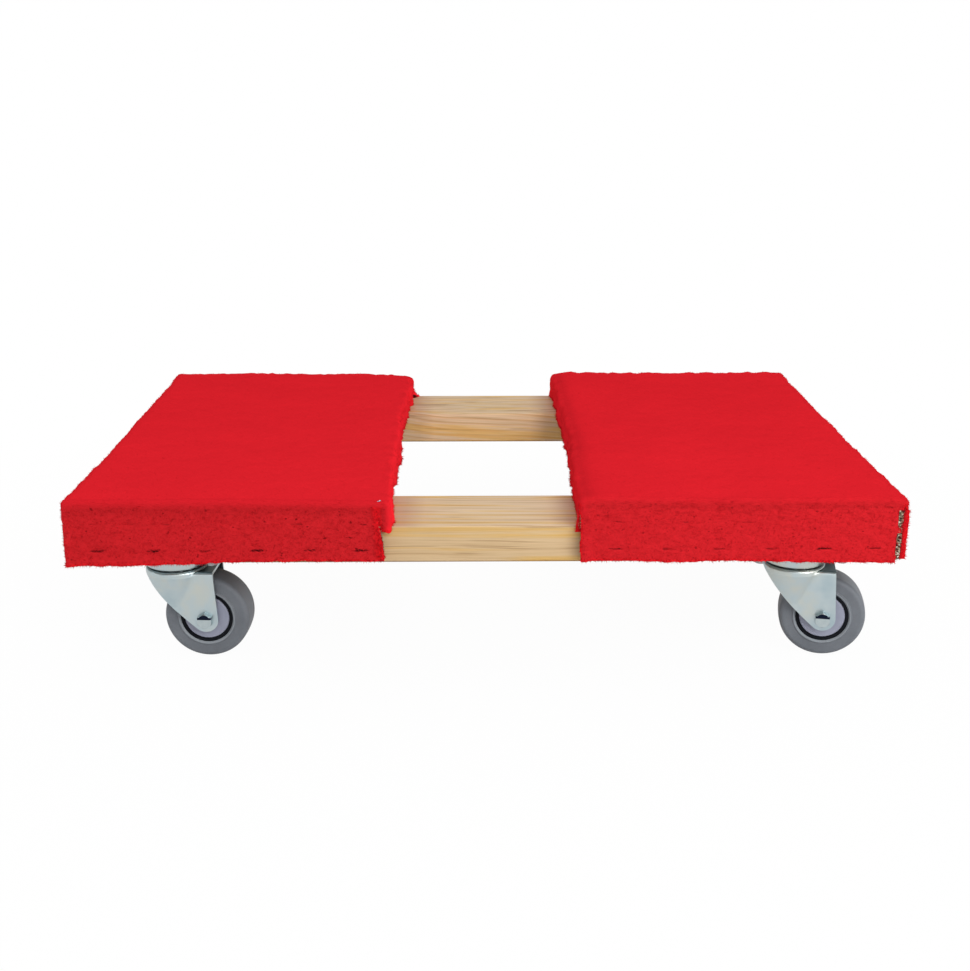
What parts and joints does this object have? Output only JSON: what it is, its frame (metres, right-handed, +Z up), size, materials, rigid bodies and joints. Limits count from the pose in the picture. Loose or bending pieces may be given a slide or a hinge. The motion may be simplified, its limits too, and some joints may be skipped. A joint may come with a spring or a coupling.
{
  "type": "furniture dolly",
  "caption": "Low wooden furniture dolly: flat rails, carpet-covered end decks with an open middle, and swivel castors with rubber tyres, for rolling heavy goods.",
  "frame": {"origin": "on the floor under the middle of the dolly, with the tyres standing on it", "axes": "+X along the rails, +Y across to the back, +Z up; at rest the castors trail about towards +X"},
  "size_m": [0.75, 0.506, 0.166],
  "materials": {
    "pine": "planed softwood",
    "plywood": "sanded plywood",
    "carpet": "cut-pile carpet",
    "zinc": "bright zinc plate",
    "staple_wire": "drawn wire",
    "screw_steel": "zinc plate",
    "ball_steel": "polished",
    "grey_rubber": "moulded",
    "black_plastic": "moulded",
    "grey_plastic": "moulded",
    "bush_plastic": "moulded"
  },
  "bodies": {
    "frame": {"rail_front": "pine", "rail_rear": "pine", "deck_left": "plywood", "deck_right": "plywood", "carpet_left": "carpet", "carpet_right": "carpet", "staples_left": "staple_wire", "staples_right": "staple_wire", "deck_screws": "screw_steel", "castor_screws": "screw_steel", "castor_washers": "screw_steel", "castor_plate_front_left": "zinc", "kingpin_front_left": "zinc", "race_retainer_front_left": "zinc", "castor_plate_front_right": "zinc", "kingpin_front_right": "zinc", "race_retainer_front_right": "zinc", "castor_plate_rear_left": "zinc", "kingpin_rear_left": "zinc", "race_retainer_rear_left": "zinc", "castor_plate_rear_right": "zinc", "kingpin_rear_right": "zinc", "race_retainer_rear_right": "zinc"},
    "castor_front_left": {"fork_front_left": "zinc", "axle_bolt_front_left": "zinc", "axle_nut_front_left": "zinc", "axle_sleeve_front_left": "zinc", "thread_guards_front_left": "grey_plastic"},
    "wheel_front_left": {"tyre_front_left": "grey_rubber", "wheel_core_front_left": "black_plastic", "bush_front_left": "bush_plastic"},
    "balls_front_left": {"race_balls_front_left": "ball_steel"},
    "castor_front_right": {"fork_front_right": "zinc", "axle_bolt_front_right": "zinc", "axle_nut_front_right": "zinc", "axle_sleeve_front_right": "zinc", "thread_guards_front_right": "grey_plastic"},
    "wheel_front_right": {"tyre_front_right": "grey_rubber", "wheel_core_front_right": "black_plastic", "bush_front_right": "bush_plastic"},
    "balls_front_right": {"race_balls_front_right": "ball_steel"},
    "castor_rear_left": {"fork_rear_left": "zinc", "axle_bolt_rear_left": "zinc", "axle_nut_rear_left": "zinc", "axle_sleeve_rear_left": "zinc", "thread_guards_rear_left": "grey_plastic"},
    "wheel_rear_left": {"tyre_rear_left": "grey_rubber", "wheel_core_rear_left": "black_plastic", "bush_rear_left": "bush_plastic"},
    "balls_rear_left": {"race_balls_rear_left": "ball_steel"},
    "castor_rear_right": {"fork_rear_right": "zinc", "axle_bolt_rear_right": "zinc", "axle_nut_rear_right": "zinc", "axle_sleeve_rear_right": "zinc", "thread_guards_rear_right": "grey_plastic"},
    "wheel_rear_right": {"tyre_rear_right": "grey_rubber", "wheel_core_rear_right": "black_plastic", "bush_rear_right": "bush_plastic"},
    "balls_rear_right": {"race_balls_rear_right": "ball_steel"}
  },
  "joints": [
    {"name": "swivel_front_left", "type": "hinge", "parent": "frame", "child": "castor_front_left", "pos_m": [-0.2895, -0.2005, 0.09], "axis": [0, 0, 1], "continuous": true},
    {"name": "ball_orbit_front_left", "type": "hinge", "parent": "frame", "child": "balls_front_left", "pos_m": [-0.2895, -0.2005, 0.09], "axis": [0, 0, 1], "continuous": true},
    {"name": "roll_front_left", "type": "hinge", "parent": "castor_front_left", "child": "wheel_front_left", "pos_m": [-0.26104, -0.20199, 0.04], "axis": [0.0523, 0.9986, 0], "continuous": true},
    {"name": "swivel_front_right", "type": "hinge", "parent": "frame", "child": "castor_front_right", "pos_m": [0.2895, -0.2005, 0.09], "axis": [0, 0, 1], "continuous": true},
    {"name": "ball_orbit_front_right", "type": "hinge", "parent": "frame", "child": "balls_front_right", "pos_m": [0.2895, -0.2005, 0.09], "axis": [0, 0, 1], "continuous": true},
    {"name": "roll_front_right", "type": "hinge", "parent": "castor_front_right", "child": "wheel_front_right", "pos_m": [0.31748, -0.20594, 0.04], "axis": [0.1908, 0.9816, 0], "continuous": true},
    {"name": "swivel_rear_left", "type": "hinge", "parent": "frame", "child": "castor_rear_left", "pos_m": [-0.2895, 0.2005, 0.09], "axis": [0, 0, 1], "continuous": true},
    {"name": "ball_orbit_rear_left", "type": "hinge", "parent": "frame", "child": "balls_rear_left", "pos_m": [-0.2895, 0.2005, 0.09], "axis": [0, 0, 1], "continuous": true},
    {"name": "roll_rear_left", "type": "hinge", "parent": "castor_rear_left", "child": "wheel_rear_left", "pos_m": [-0.261, 0.2005, 0.04], "axis": [0, 1, 0], "continuous": true},
    {"name": "swivel_rear_right", "type": "hinge", "parent": "frame", "child": "castor_rear_right", "pos_m": [0.2895, 0.2005, 0.09], "axis": [0, 0, 1], "continuous": true},
    {"name": "ball_orbit_rear_right", "type": "hinge", "parent": "frame", "child": "balls_rear_right", "pos_m": [0.2895, 0.2005, 0.09], "axis": [0, 0, 1], "continuous": true},
    {"name": "roll_rear_right", "type": "hinge", "parent": "castor_rear_right", "child": "wheel_rear_right", "pos_m": [0.318, 0.2005, 0.04], "axis": [0, 1, 0], "continuous": true}
  ],
  "couplings": [
    {"joint": "ball_orbit_front_left", "follows": "swivel_front_left", "ratio": 0.5},
    {"joint": "ball_orbit_front_right", "follows": "swivel_front_right", "ratio": 0.5},
    {"joint": "ball_orbit_rear_left", "follows": "swivel_rear_left", "ratio": 0.5},
    {"joint": "ball_orbit_rear_right", "follows": "swivel_rear_right", "ratio": 0.5}
  ]
}
